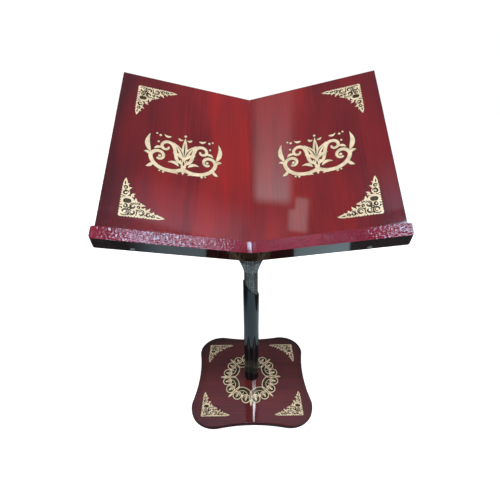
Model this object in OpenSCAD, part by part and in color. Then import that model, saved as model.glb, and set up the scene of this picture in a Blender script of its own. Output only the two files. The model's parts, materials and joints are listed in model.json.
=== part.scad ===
// Book stand with two reading boards set in a V, carried by a telescopic post on a scalloped base.
// Millimetres. The origin is the centre of the pad under the base, +Z is up and -Y faces the reader.

/* [Base] */
// Side of the square that holds the base
base_side = 280; // [260:2:320]
// Radius of the four base lobes
lobe_r = 56; // [50:1:60]
// Depth of the hollow in the middle of each side
waist = 8.4; // [6:0.2:9]
// Thickness of the base board
base_t = 9; // [9:1:18]
// Thickness of the soft pad under the base
pad_t = 3; // [2:0.5:4]

/* [Post] */
// Outer radius of the fixed tube
outer_r = 17.5; // [17.5:0.5:18]
// Wall of both tubes
tube_wall = 1.5; // [1.2:0.1:1.5]
// Outer radius of the sliding tube
inner_r = 15; // [14.8:0.1:15.2]
// Height of the fixed tube's slanted mouth, on the post's axis
mouth_z = 278; // [272:1:280]
// Slant of the mouth, which falls towards +X
mouth_slant = 45; // [0:1:46]
// Height of the sliding tube's lower end
inner_bottom_z = 110; // [100:1:114]
// Height of the sliding tube's upper end
inner_top_z = 372; // [368:1:374]

/* [Head] */
// Height of the tilt axis above the floor
pivot_z = 440; // [434:1:446]
// Height of the bell's lower lip
bell_z = 323; // [321:1:326]
// Height of the bell's flare
bell_flare = 26; // [22:1:30]
// Radius of the tilt bolt
bolt_r = 4; // [4:0.5:5]
// Half of the gap between the ears
ear_gap = 11.3; // [11.3:0.1:11.6]
// Thickness of each ear
ear_t = 6; // [5:0.5:6]

/* [Boards] */
// Width of one board, from the spine to its outer edge
board_w = 246; // [220:1:270]
// Height of one board along the spine
board_h = 332; // [300:1:360]
// Thickness of the boards
board_t = 16; // [15:0.5:18]
// Slope of the spine from the horizontal
slope = 41.5; // [38:0.5:45]
// Angle by which each board rises from the spine outwards
rise = 16; // [12:0.5:18]
// Distance of the spine's lower end in front of the post
spine_front = 102; // [95:1:110]
// Height of the spine's lower end
spine_z = 426; // [422:1:430]
// Thickness of the book ledge
ledge_t = 20; // [16:1:24]
// Height of the book ledge above the boards' faces
ledge_rise = 21; // [15:1:26]
// Overhang of the ledge past the board's outer edge
ledge_over = 1; // [0:0.5:3]

/* [Ornaments] */
// Thickness of the gold foil
foil_t = 0.3; // [0.2:0.1:0.5]
// Arm of a board's corner ornament
corner_arm = 70; // [60:1:75]
// Arm of a base corner ornament
base_corner_arm = 64; // [55:1:66]
// Inset of the corner ornaments from the base's sides and the boards' ends
corner_inset = 25; // [22:1:30]
// Inset of the corner ornaments from a board's outer edge
side_inset = 30; // [24:1:34]
// Outer radius of the ring ornament on the base
ring_r = 80; // [74:1:82]
// Radius of the middle ring in a board's centre ornament
scroll_r = 30; // [24:1:34]

/* [Hidden] */

$fn = 96;
edging_t = 0.8;
run_gap = 0.05;
spine_gap = 0.1;
cut = 1;

base_top = pad_t + base_t;
lobe_c = base_side / 2 - lobe_r;
waist_y = base_side / 2 - waist;
// radius of the circle that is tangent to two neighbouring lobes and reaches the waist
waist_r = (pow(lobe_c, 2) + pow(waist_y - lobe_c, 2) - pow(lobe_r, 2))
    / (2 * (lobe_r - (waist_y - lobe_c)));
waist_c = waist_y + waist_r;
tangent_k = lobe_r / (waist_r + lobe_r);
tangent_a = lobe_c - lobe_c * tangent_k;
tangent_b = lobe_c + (waist_c - lobe_c) * tangent_k;

base_bolt_r = 5;
base_bolt_head_r = 9;
base_bolt_head_t = 2.8;
base_bolt_grip = 24;
base_washer_r = 17;
base_washer_t = 1.5;
recess_d = 4.5;
plug_h = 30;

mouth_low_z = mouth_z - outer_r * tan(mouth_slant);
bush_bottom_z = mouth_low_z - 30;
clamp_z = mouth_low_z - 16;
clamp_r = 4;
boss_r = 8;
boss_y = 26;

plug_in = 25;
plug_cap_t = 3;
plug_top_z = inner_top_z + plug_cap_t;
slip_washer_t = 1.5;
socket_roof_z = plug_top_z + slip_washer_t + 0.3;
socket_top_z = socket_roof_z + 8.5;
socket_r = 26;
socket_chamfer = 4;
bell_lip_r = inner_r + 1.1;
swivel_r = 5;
swivel_washer_t = 2;
swivel_head_z = socket_top_z + 0.3 + swivel_washer_t;
swivel_head_t = 6.4;
swivel_nut_z = inner_top_z - 33;
swivel_nut_t = 8;
swivel_end_z = swivel_nut_z - 3;
hex_r = 9.6;

ear_r = 14;
ear_foot_w = 16;
ear_foot_h = 3;
tilt_head_r = 7.4;
tilt_head_t = 5.3;
tilt_bolt_out = 33;
tilt_washer_t = 1.6;
insert_r = 6;
insert_l = 12;
knob_hub_h = 4;
stud_l = 22.5;

// the pivot in the boards' own frame: along the spine, and square to it
pivot_v = spine_front * cos(slope) + (pivot_z - spine_z) * sin(slope);
pivot_n = -spine_front * sin(slope) + (pivot_z - spine_z) * cos(slope);
channel_w = 10;
channel_t = 4;
channel_l = 60;
channel_r = 12;
saddle_t = 3;
saddle_w = 90;
saddle_v = 45;
saddle_l = 175;
saddle_n = -(board_t + saddle_t) / cos(rise);
screw_r = 1.8;
screw_head_r = 3.8;
screw_head_t = 2.2;
screw_in = 11;
screw_us = [24, 74];
screw_vs = [saddle_v + 20, saddle_v + saddle_l - 20];
ledge_screw_u = 0.765 * board_w;
ledge_screw_in = 24;
ledge_head_t = 1.4;
ledge_corner_r = 4;
ledge_margin = 6;

ears_end = ear_gap + ear_t;
knob_x = ears_end + tilt_washer_t + 0.3;

// ---- frames -------------------------------------------------------------------------------------

// X along the width, Y up the spine, Z square to the spine, from the spine's lower end
module tray_frame() {
    translate([0, -spine_front, spine_z])
        rotate([slope, 0, 0])
            children();
}

// the right board's frame, inside the tray's: X from the spine outwards in the board's own face
module board_frame() {
    rotate([0, -rise, 0])
        children();
}

// keeps what lies on the right of the spine
module right_half() {
    intersection() {
        children();
        translate([spine_gap / 2, -100, -200])
            cube([500, 600, 500]);
    }
}

module left_side() {
    mirror([1, 0, 0])
        children();
}

module ring(r_out, r_in, h) {
    difference() {
        cylinder(r = r_out, h = h);
        translate([0, 0, -cut])
            cylinder(r = r_in, h = h + 2 * cut);
    }
}

module hex(r, h) {
    cylinder(r = r, h = h, $fn = 6);
}

// a five-lobed hand knob that grows along +Z from its hub
module star_knob(core, lobe, hub, thick) {
    cylinder(r = hub, h = knob_hub_h);
    translate([0, 0, knob_hub_h - cut])
        linear_extrude(thick)
            union() {
                circle(r = core);
                for (i = [0:4])
                    rotate(72 * i)
                        translate([core, 0])
                            circle(r = lobe);
            }
}

// ---- base ---------------------------------------------------------------------------------------

// the scalloped outline: four lobes joined by shallow hollow arcs
module base_outline(inset) {
    difference() {
        polygon([
            [tangent_a, -tangent_b], [tangent_b, -tangent_a], [tangent_b, tangent_a], [tangent_a, tangent_b],
            [-tangent_a, tangent_b], [-tangent_b, tangent_a], [-tangent_b, -tangent_a], [-tangent_a, -tangent_b]
        ]);
        for (i = [0:3])
            rotate(90 * i)
                translate([0, waist_c])
                    circle(r = waist_r + inset, $fn = 256);
    }
    for (i = [0:3])
        rotate(90 * i)
            translate([lobe_c, lobe_c])
                circle(r = lobe_r - inset);
}

module base_pad() {
    color("dimgray")
        difference() {
            linear_extrude(pad_t)
                base_outline(6);
            translate([0, 0, -cut])
                cylinder(r = base_washer_r + 4, h = pad_t + 2 * cut);
        }
}

module base_board() {
    color("#4a1518")
        difference() {
            translate([0, 0, pad_t])
                linear_extrude(base_t)
                    base_outline(edging_t);
            translate([0, 0, pad_t - cut])
                cylinder(r = base_washer_r + 1, h = recess_d + cut);
            translate([0, 0, pad_t])
                cylinder(r = base_bolt_r + 0.15, h = base_t + cut);
        }
}

module base_edging() {
    color("#2a0d10")
        translate([0, 0, pad_t])
            linear_extrude(base_t)
                difference() {
                    base_outline(0);
                    base_outline(edging_t);
                }
}

// two rows of interlaced rings between a plain inner and outer band
module base_ring_ornament() {
    color("khaki")
        translate([0, 0, base_top])
            linear_extrude(foil_t)
                difference() {
                    union() {
                        circle(r = ring_r - 14);
                        for (i = [0:7])
                            rotate(45 * i)
                                translate([0, ring_r - 16])
                                    circle(r = 16);
                    }
                    circle(r = ring_r - 43);
                    for (i = [0:7]) {
                        rotate(45 * i)
                            translate([0, ring_r - 16])
                                circle(r = 9);
                        rotate(45 * i + 22.5)
                            translate([0, ring_r - 30])
                                circle(r = 7);
                    }
                }
}

// an L-shaped ornament with a hollow inner side, its corner at the origin
module corner_shape(arm) {
    difference() {
        square(arm);
        translate([arm, arm])
            circle(r = arm * 0.9);
        translate([arm * 0.17, arm * 0.17])
            circle(r = arm * 0.06);
        translate([arm * 0.42, arm * 0.12])
            circle(r = arm * 0.045);
        translate([arm * 0.12, arm * 0.42])
            circle(r = arm * 0.045);
    }
}

module base_corner_ornaments() {
    far = base_side / 2 - corner_inset;
    color("khaki")
        translate([0, 0, base_top])
            linear_extrude(foil_t)
                for (i = [0:3])
                    rotate(90 * i)
                        translate([-far, -far])
                            corner_shape(base_corner_arm);
}

module base_washer() {
    color("silver")
        translate([0, 0, pad_t + recess_d - base_washer_t])
            ring(base_washer_r, base_bolt_r + 0.1, base_washer_t);
}

module base_bolt() {
    head_top = pad_t + recess_d - base_washer_t;
    color("silver")
        union() {
            translate([0, 0, head_top - base_bolt_head_t])
                cylinder(r = base_bolt_head_r, h = base_bolt_head_t);
            translate([0, 0, head_top])
                cylinder(r = base_bolt_r, h = base_top + base_bolt_grip - head_top);
        }
}

// ---- post ---------------------------------------------------------------------------------------

module bottom_plug() {
    color("gray")
        translate([0, 0, base_top])
            ring(outer_r - tube_wall - 0.02, base_bolt_r + 0.02, plug_h);
}

module clamp_hole(r) {
    translate([0, 0, clamp_z])
        rotate([-90, 0, 0])
            cylinder(r = r, h = 60);
}

// all that lies above the slanted mouth
module above_mouth() {
    translate([0, 0, mouth_z])
        rotate([0, mouth_slant, 0])
            translate([-50, -50, 0])
                cube(100);
}

module outer_tube() {
    color("#101418")
        difference() {
            translate([0, 0, base_top])
                ring(outer_r, outer_r - tube_wall, mouth_z + outer_r + cut - base_top);
            clamp_hole(clamp_r + 0.3);
            above_mouth();
        }
}

module guide_bush() {
    bush_r = outer_r - tube_wall - 0.02;
    color("#1c1c1e")
        difference() {
            translate([0, 0, bush_bottom_z])
                ring(bush_r, inner_r + run_gap, mouth_z + outer_r + cut - bush_bottom_z);
            clamp_hole(clamp_r + 0.3);
            above_mouth();
        }
}

module clamp_boss() {
    color("#15181b")
        difference() {
            translate([0, outer_r - 3, clamp_z])
                rotate([-90, 0, 0])
                    cylinder(r = boss_r, h = boss_y - outer_r + 3);
            translate([0, 0, clamp_z - 2 * boss_r])
                cylinder(r = outer_r, h = 4 * boss_r);
            clamp_hole(clamp_r + run_gap);
        }
}

module clamp_stud() {
    color("silver")
        translate([0, inner_r + 0.3, clamp_z])
            rotate([-90, 0, 0])
                cylinder(r = clamp_r, h = stud_l);
}

module clamp_knob() {
    color("#18181a")
        difference() {
            translate([0, boss_y + 0.6, clamp_z])
                rotate([-90, 0, 0])
                    star_knob(9, 4, 6.5, 11);
            translate([0, boss_y - cut, clamp_z])
                rotate([-90, 0, 0])
                    cylinder(r = clamp_r + 0.02, h = 13.5);
        }
}

module inner_tube() {
    color("#8b9094")
        translate([0, 0, inner_bottom_z])
            ring(inner_r, inner_r - tube_wall, inner_top_z - inner_bottom_z);
}

module lower_guide() {
    color("#1c1c1e")
        translate([0, 0, inner_bottom_z])
            ring(outer_r - tube_wall - run_gap, inner_r + 0.02, 20);
}

module top_plug() {
    color("gray")
        difference() {
            union() {
                translate([0, 0, inner_top_z - plug_in])
                    cylinder(r = inner_r - tube_wall - 0.02, h = plug_in);
                translate([0, 0, inner_top_z])
                    cylinder(r = inner_r, h = plug_cap_t);
            }
            translate([0, 0, inner_top_z - plug_in - cut])
                cylinder(r = swivel_r + run_gap, h = plug_in + plug_cap_t + 2 * cut);
        }
}

module slip_washer() {
    color("ivory")
        translate([0, 0, plug_top_z])
            ring(inner_r - 0.5, swivel_r + 0.2, slip_washer_t);
}

module swivel_bolt() {
    color("silver")
        union() {
            translate([0, 0, swivel_end_z])
                cylinder(r = swivel_r, h = swivel_head_z - swivel_end_z);
            translate([0, 0, swivel_head_z])
                hex(hex_r, swivel_head_t);
        }
}

module swivel_washer() {
    color("silver")
        translate([0, 0, socket_top_z + 0.3])
            ring(10.4, swivel_r + run_gap, swivel_washer_t);
}

module swivel_nut() {
    color("silver")
        translate([0, 0, swivel_nut_z])
            difference() {
                hex(hex_r, swivel_nut_t);
                translate([0, 0, -cut])
                    cylinder(r = swivel_r + 0.02, h = swivel_nut_t + 2 * cut);
            }
}

// ---- head ---------------------------------------------------------------------------------------

module ear() {
    translate([ear_gap, 0, 0])
        rotate([90, 0, 90])
            linear_extrude(ear_t)
                union() {
                    polygon([
                        [-ear_foot_w, socket_roof_z + ear_foot_h], [ear_foot_w, socket_roof_z + ear_foot_h],
                        [ear_r, pivot_z], [-ear_r, pivot_z]
                    ]);
                    translate([0, pivot_z])
                        circle(r = ear_r);
                }
}

// a bell that turns on the sliding tube, with two ears for the tilt bolt
module head_socket() {
    flare_w = socket_r - bell_lip_r;
    steps = 12;
    flare = [for (i = [0:steps]) [bell_lip_r + flare_w * pow(i / steps, 1.3), bell_z + bell_flare * i / steps]];
    color("#6c7276")
        difference() {
            union() {
                rotate_extrude()
                    polygon(concat(
                        [[0, bell_z]],
                        flare,
                        [[socket_r, socket_top_z - socket_chamfer], [socket_r - socket_chamfer, socket_top_z]],
                        [[0, socket_top_z]]
                    ));
                ear();
                left_side()
                    ear();
            }
            translate([0, 0, bell_z - cut])
                cylinder(r = inner_r + run_gap, h = socket_roof_z - bell_z + cut);
            cylinder(r = swivel_r + 0.1, h = socket_top_z + cut);
            translate([-60, 0, pivot_z])
                rotate([0, 90, 0])
                    cylinder(r = bolt_r + 0.02, h = 120);
        }
}

module tilt_bolt() {
    color("silver")
        translate([-ears_end, 0, pivot_z])
            rotate([0, 90, 0])
                union() {
                    translate([0, 0, -tilt_head_t])
                        hex(tilt_head_r, tilt_head_t);
                    cylinder(r = bolt_r, h = ears_end + tilt_bolt_out);
                }
}

module tilt_washer() {
    color("silver")
        translate([ears_end, 0, pivot_z])
            rotate([0, 90, 0])
                ring(8, bolt_r + 0.1, tilt_washer_t);
}

module tilt_knob() {
    color("#18181a")
        difference() {
            translate([knob_x, 0, pivot_z])
                rotate([0, 90, 0])
                    star_knob(13, 5, 9, 15);
            translate([knob_x - cut, 0, pivot_z])
                rotate([0, 90, 0])
                    union() {
                        cylinder(r = insert_r + 0.02, h = insert_l + cut);
                        cylinder(r = bolt_r + 0.3, h = 15.5);
                    }
        }
}

module knob_insert() {
    color("goldenrod")
        translate([knob_x, 0, pivot_z])
            rotate([0, 90, 0])
                ring(insert_r, bolt_r + run_gap, insert_l);
}

// ---- carrier under the boards -------------------------------------------------------------------

module channel_arm() {
    translate([channel_w - channel_t, 0, 0])
        rotate([90, 0, 90])
            linear_extrude(channel_t)
                union() {
                    polygon([
                        [pivot_v - channel_r, pivot_n], [pivot_v + channel_r, pivot_n],
                        [pivot_v + channel_l / 2, saddle_n - channel_t], [pivot_v + channel_l / 2, saddle_n - 0.4],
                        [pivot_v - channel_l / 2, saddle_n - 0.4], [pivot_v - channel_l / 2, saddle_n - channel_t]
                    ]);
                    translate([pivot_v, pivot_n])
                        circle(r = channel_r);
                }
}

// a bent steel channel welded under the saddle's fold, bored for the tilt bolt
module tilt_channel() {
    side_n = saddle_n + channel_w * tan(rise);
    color("#202428")
        tray_frame()
            difference() {
                union() {
                    channel_arm();
                    left_side()
                        channel_arm();
                    translate([0, pivot_v + channel_l / 2, 0])
                        rotate([90, 0, 0])
                            linear_extrude(channel_l)
                                polygon([
                                    [0, saddle_n], [channel_w, side_n], [channel_w, saddle_n - channel_t],
                                    [-channel_w, saddle_n - channel_t], [-channel_w, side_n]
                                ]);
                }
                translate([-50, pivot_v, pivot_n])
                    rotate([0, 90, 0])
                        cylinder(r = bolt_r + run_gap, h = 100);
            }
}

module spacer_sleeve() {
    inside = channel_w - channel_t;
    color("silver")
        translate([-inside, 0, pivot_z])
            rotate([0, 90, 0])
                ring(7, bolt_r + 0.1, 2 * inside);
}

module friction_washers() {
    color("ivory")
        for (side = [0:1])
            mirror([side, 0, 0])
                translate([channel_w, 0, pivot_z])
                    rotate([0, 90, 0])
                        ring(channel_r, bolt_r + 0.1, 1);
}

module at_saddle_screws() {
    for (u = screw_us)
        for (v = screw_vs)
            translate([u, v, -board_t - saddle_t])
                children();
}

// one steel plate folded along the spine, screwed under both boards
module saddle_plate() {
    top = [saddle_w * cos(rise) + board_t * sin(rise), saddle_w * sin(rise) - board_t * cos(rise)];
    low = top + saddle_t * [sin(rise), -cos(rise)];
    color("#202428")
        tray_frame()
            difference() {
                translate([0, saddle_v + saddle_l, 0])
                    rotate([90, 0, 0])
                        linear_extrude(saddle_l)
                            polygon([
                                [0, -board_t / cos(rise)], top, low,
                                [0, saddle_n], [-low[0], low[1]], [-top[0], top[1]]
                            ]);
                for (side = [0:1])
                    mirror([side, 0, 0])
                        board_frame()
                            at_saddle_screws()
                                translate([0, 0, -cut])
                                    cylinder(r = screw_r + 0.3, h = saddle_t + 2 * cut);
            }
}

module saddle_screws() {
    color("silver")
        tray_frame()
            for (side = [0:1])
                mirror([side, 0, 0])
                    board_frame()
                        at_saddle_screws()
                            union() {
                                translate([0, 0, -screw_head_t])
                                    cylinder(r = screw_head_r, h = screw_head_t);
                                cylinder(r = screw_r, h = saddle_t + screw_in);
                            }
}

// ---- boards -------------------------------------------------------------------------------------

module ledge_screw_axis() {
    translate([ledge_screw_u, 0, -board_t / 2])
        rotate([-90, 0, 0])
            children();
}

module board() {
    right_half()
        board_frame()
            difference() {
                translate([-10, 0, -board_t])
                    cube([board_w + 10 - edging_t, board_h - edging_t, board_t]);
                at_saddle_screws()
                    cylinder(r = screw_r + 0.02, h = saddle_t + screw_in + 0.5);
                ledge_screw_axis()
                    translate([0, 0, -cut])
                        cylinder(r = screw_r + 0.02, h = ledge_screw_in + cut);
                foil_layer(foil_t + cut) {
                    corner_pair();
                    centre_scroll();
                }
            }
}

module right_board() {
    color("#7c1f22")
        tray_frame()
            board();
}

module left_board() {
    color("#7c1f22")
        tray_frame()
            left_side()
                board();
}

// a thin band on the board's outer and upper edges
module edging() {
    right_half()
        board_frame()
            union() {
                translate([board_w - edging_t, 0, -board_t])
                    cube([edging_t, board_h, board_t]);
                translate([-10, board_h - edging_t, -board_t])
                    cube([board_w + 10, edging_t, board_t]);
            }
}

module right_edging() {
    color("#2a0d10")
        tray_frame()
            edging();
}

module left_edging() {
    color("#2a0d10")
        tray_frame()
            left_side()
                edging();
}

// the strip across the board's lower end, with rounded outer corners
module ledge() {
    end_u = board_w + ledge_over;
    c = ledge_corner_r;
    right_half()
        board_frame()
            difference() {
                translate([0, 0, -board_t])
                    linear_extrude(board_t + ledge_rise)
                        union() {
                            translate([-10, -ledge_t])
                                square([end_u + 10 - c, ledge_t]);
                            translate([0, c - ledge_t])
                                square([end_u, ledge_t - 2 * c]);
                            translate([end_u - c, -c])
                                circle(r = c);
                            translate([end_u - c, c - ledge_t])
                                circle(r = c);
                        }
                ledge_screw_axis()
                    translate([0, 0, -ledge_t - cut])
                        union() {
                            cylinder(r = screw_r + 0.02, h = ledge_t + 2 * cut);
                            cylinder(r = screw_head_r + 0.1, h = ledge_head_t + cut - 0.4);
                        }
            }
}

module right_ledge() {
    color("#7d1730")
        tray_frame()
            ledge();
}

module left_ledge() {
    color("#7d1730")
        tray_frame()
            left_side()
                ledge();
}

module ledge_screws() {
    color("silver")
        tray_frame()
            for (side = [0:1])
                mirror([side, 0, 0])
                    board_frame()
                        ledge_screw_axis()
                            translate([0, 0, -ledge_t - 0.4])
                                union() {
                                    cylinder(r = screw_head_r, h = ledge_head_t);
                                    cylinder(r = screw_r, h = ledge_t + 0.4 + ledge_screw_in - 0.5);
                                }
}

// a flat shape let into the board's face, from the foil's underside up
module foil_layer(h) {
    translate([0, 0, -foil_t])
        linear_extrude(h)
            children();
}

// the two L-shaped ornaments in the board's outer corners
module corner_pair() {
    u = board_w - side_inset;
    translate([u, board_h - corner_inset])
        rotate(180)
            corner_shape(corner_arm);
    translate([u, corner_inset + ledge_margin])
        rotate(90)
            corner_shape(corner_arm);
}

// a wide scroll ornament: a middle ring between two smaller ones and two end drops
module centre_scroll() {
    translate([board_w / 2, board_h / 2])
        difference() {
            union() {
                circle(r = scroll_r);
                for (side = [-1, 1]) {
                    translate([side * 1.2 * scroll_r, 0])
                        circle(r = scroll_r * 2 / 3);
                    translate([side * 1.93 * scroll_r, 0])
                        circle(r = scroll_r * 0.27);
                }
            }
            circle(r = scroll_r * 2 / 3);
            for (side = [-1, 1])
                translate([side * 1.27 * scroll_r, 0])
                    circle(r = scroll_r * 0.4);
        }
}

module right_corner_ornaments() {
    color("khaki")
        tray_frame()
            board_frame()
                foil_layer(foil_t)
                    corner_pair();
}

module left_corner_ornaments() {
    color("khaki")
        tray_frame()
            left_side()
                board_frame()
                    foil_layer(foil_t)
                        corner_pair();
}

module right_centre_ornament() {
    color("khaki")
        tray_frame()
            board_frame()
                foil_layer(foil_t)
                    centre_scroll();
}

module left_centre_ornament() {
    color("khaki")
        tray_frame()
            left_side()
                board_frame()
                    foil_layer(foil_t)
                        centre_scroll();
}

base_pad();
base_board();
base_edging();
base_ring_ornament();
base_corner_ornaments();
base_washer();
base_bolt();
bottom_plug();
outer_tube();
guide_bush();
clamp_boss();
clamp_stud();
clamp_knob();
inner_tube();
lower_guide();
top_plug();
slip_washer();
swivel_bolt();
swivel_washer();
swivel_nut();
head_socket();
tilt_bolt();
tilt_washer();
tilt_knob();
knob_insert();
tilt_channel();
spacer_sleeve();
friction_washers();
saddle_plate();
saddle_screws();
left_board();
right_board();
left_edging();
right_edging();
left_ledge();
right_ledge();
ledge_screws();
left_corner_ornaments();
right_corner_ornaments();
left_centre_ornament();
right_centre_ornament();
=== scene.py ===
"""Looks of the book stand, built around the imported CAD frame. Metres, +Z up, the reader at -Y."""
import json
import math

import bmesh
import bpy
import numpy as np
from mathutils import Matrix, Vector

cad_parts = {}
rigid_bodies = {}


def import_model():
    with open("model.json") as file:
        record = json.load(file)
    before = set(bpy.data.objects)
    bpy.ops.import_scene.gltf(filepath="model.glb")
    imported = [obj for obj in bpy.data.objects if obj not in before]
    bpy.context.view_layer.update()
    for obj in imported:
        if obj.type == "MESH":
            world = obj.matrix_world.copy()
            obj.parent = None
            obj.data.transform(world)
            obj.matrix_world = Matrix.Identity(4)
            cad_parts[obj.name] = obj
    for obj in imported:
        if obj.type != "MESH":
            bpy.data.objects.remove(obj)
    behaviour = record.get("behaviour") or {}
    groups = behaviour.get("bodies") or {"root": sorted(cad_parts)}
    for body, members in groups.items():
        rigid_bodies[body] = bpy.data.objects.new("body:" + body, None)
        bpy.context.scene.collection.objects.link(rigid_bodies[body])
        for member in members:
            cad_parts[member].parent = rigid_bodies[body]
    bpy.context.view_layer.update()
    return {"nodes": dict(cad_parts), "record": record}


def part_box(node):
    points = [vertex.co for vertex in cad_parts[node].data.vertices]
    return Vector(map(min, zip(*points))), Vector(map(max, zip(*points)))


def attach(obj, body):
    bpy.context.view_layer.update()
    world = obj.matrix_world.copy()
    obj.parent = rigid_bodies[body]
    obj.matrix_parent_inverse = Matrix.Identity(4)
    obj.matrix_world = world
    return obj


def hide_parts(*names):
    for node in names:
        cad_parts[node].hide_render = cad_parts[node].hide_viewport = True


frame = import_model()

MM = 0.001
NODES = frame["nodes"]
SLOT_OF = {p["node"]: p["material_slot"] for p in frame["record"]["subparts"]}
MOUNTS = {m["name"]: m for m in frame["record"]["mounts"]}

# ---- the boards' own frames, worked out from the reading faces -------------------------------------

face_normal = Vector(MOUNTS["right_reading_face"]["axis"])
RISE = math.asin(-face_normal.x)
SLOPE = math.atan2(-face_normal.y, face_normal.z)
UP_SPINE = Vector((0, math.cos(SLOPE), math.sin(SLOPE)))
SPINE_OUT = Vector((0, -math.sin(SLOPE), math.cos(SLOPE)))
face_height = face_normal.dot(Vector(MOUNTS["right_reading_face"]["pos_m"])) / math.cos(RISE)
lower_end = min(UP_SPINE.dot(v.co) for v in NODES["right_board"].data.vertices)
SPINE = UP_SPINE * lower_end + SPINE_OUT * face_height


def board_frame(side):
    """X across the board from the reader's left to right, Y up the spine, Z out of the reading face."""
    return Matrix.Translation(SPINE) @ Matrix.Rotation(SLOPE, 4, "X") @ Matrix.Rotation(-side * RISE, 4, "Y")


def span(node, matrix):
    """Lowest and highest corner of a CAD node in the frame that a matrix gives."""
    back = matrix.inverted()
    co = np.array([back @ v.co for v in NODES[node].data.vertices])
    return Vector(co.min(0)), Vector(co.max(0))


# ---- mesh helpers ---------------------------------------------------------------------------------

SMOOTH_BELOW_DEG = 35


def finish_mesh(name, bm, matrix, body, materials, replaces=()):
    """Turns a bmesh into a piece that rides on a body and stands for CAD nodes."""
    bmesh.ops.recalc_face_normals(bm, faces=bm.faces)
    mesh = bpy.data.meshes.new(name)
    bm.to_mesh(mesh)
    bm.free()
    mesh.shade_smooth()
    mesh.set_sharp_from_angle(angle=math.radians(SMOOTH_BELOW_DEG))
    piece = bpy.data.objects.new(name, mesh)
    bpy.context.scene.collection.objects.link(piece)
    piece.matrix_world = matrix
    for m in materials:
        mesh.materials.append(m)
    flat = piece.modifiers.new("flat_faces", "WEIGHTED_NORMAL")
    flat.keep_sharp = True
    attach(piece, body)
    if replaces:
        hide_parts(*replaces)
    return piece


def prism(bm, low, high):
    """A solid between two loops of the same number of 3-D points."""
    a = [bm.verts.new(p) for p in low]
    b = [bm.verts.new(p) for p in high]
    n = len(a)
    bm.faces.new(a[::-1])
    bm.faces.new(b)
    for i in range(n):
        bm.faces.new((a[i], a[(i + 1) % n], b[(i + 1) % n], b[i]))


def ease(bm, offset, segments=3, sharper_than=30):
    """Rounds every edge that is sharper than the angle."""
    edges = [e for e in bm.edges if e.is_manifold and e.calc_face_angle() > math.radians(sharper_than)]
    bmesh.ops.bevel(bm, geom=edges, offset=offset, offset_type="OFFSET", segments=segments,
                    profile=0.5, affect="EDGES", clamp_overlap=True)


# ---- materials ------------------------------------------------------------------------------------

class Mat:
    """A Principled material with short calls for its nodes."""

    def __init__(self, name, **values):
        self.material = bpy.data.materials.new(name)
        self.material.use_nodes = True
        self.tree = self.material.node_tree
        self.bsdf = self.tree.nodes["Principled BSDF"]
        self.coords = self.tree.nodes.new("ShaderNodeTexCoord").outputs["Object"]
        for socket, value in values.items():
            self.bsdf.inputs[socket.replace("_", " ")].default_value = value

    def node(self, kind, inputs=None, **settings):
        n = self.tree.nodes.new("ShaderNode" + kind)
        for key, value in settings.items():
            setattr(n, key, value)
        for key, value in (inputs or {}).items():
            if isinstance(value, bpy.types.NodeSocket):
                self.tree.links.new(value, n.inputs[key])
            else:
                n.inputs[key].default_value = value
        return n

    def link(self, output, socket):
        self.tree.links.new(output, self.bsdf.inputs[socket])

    def place(self, scale, offset=(0, 0, 0)):
        """The object coordinates, scaled and shifted."""
        inputs = {"Vector": self.coords, "Scale": scale, "Location": offset}
        return self.node("Mapping", inputs).outputs[0]

    def noise(self, vector, detail=4.0, rough=0.55, distortion=0.0):
        inputs = {"Vector": vector, "Scale": 1.0, "Detail": detail,
                  "Roughness": rough, "Distortion": distortion}
        return self.node("TexNoise", inputs).outputs["Fac"]

    def even_noise(self, fineness, detail=4.0, rough=0.55):
        """Noise with the same number of cells per metre along all axes."""
        return self.noise(self.place((fineness, fineness, fineness)), detail, rough)

    def two_tones(self, value, low, high, first=0.3, last=0.7):
        return self.ramp(value, [(first, low), (last, high)])

    def math(self, operation, a, b=0.0, clamp=False):
        return self.node("Math", {0: a, 1: b}, operation=operation, use_clamp=clamp).outputs[0]

    def weighted(self, a, share, b):
        """a times its share, plus b times the rest."""
        rest = self.math("MULTIPLY", b, 1 - share)
        return self.node("Math", {0: a, 1: share, 2: rest}, operation="MULTIPLY_ADD").outputs[0]

    def axis(self, name):
        return self.node("SeparateXYZ", {0: self.coords}).outputs[name]

    def remap(self, value, low, high, to_low=0.0, to_high=1.0):
        return self.node("MapRange", {"Value": value, "From Min": low, "From Max": high, "To Min": to_low,
                                      "To Max": to_high}).outputs[0]

    def ramp(self, value, stops):
        r = self.node("ValToRGB", {"Fac": value})
        e = r.color_ramp.elements
        e[0].position, e[0].color = stops[0][0], (*stops[0][1], 1)
        e[1].position, e[1].color = stops[-1][0], (*stops[-1][1], 1)
        for position, colour in stops[1:-1]:
            e.new(position).color = (*colour, 1)
        return r.outputs["Color"]

    def mix(self, factor, a, b, blend="MIX"):
        n = self.node("Mix", data_type="RGBA", blend_type=blend)
        for socket, value in ((n.inputs[0], factor), (n.inputs[6], a), (n.inputs[7], b)):
            if isinstance(value, bpy.types.NodeSocket):
                self.tree.links.new(value, socket)
            elif socket == n.inputs[0]:
                socket.default_value = value
            else:
                socket.default_value = (*value, 1)
        return n.outputs[2]

    def bump(self, height, distance, strength=1.0):
        n = self.node("Bump", {"Height": height, "Distance": distance, "Strength": strength})
        self.link(n.outputs[0], "Normal")

    def edge_wear(self, low=0.52, high=0.6):
        """0 on open faces, 1 on worn outer edges, broken up by a noise."""
        point = self.node("NewGeometry").outputs["Pointiness"]
        patchy = self.even_noise(220, 3)
        return self.math("MULTIPLY", self.remap(point, low, high), self.remap(patchy, 0.4, 0.65), clamp=True)


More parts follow.
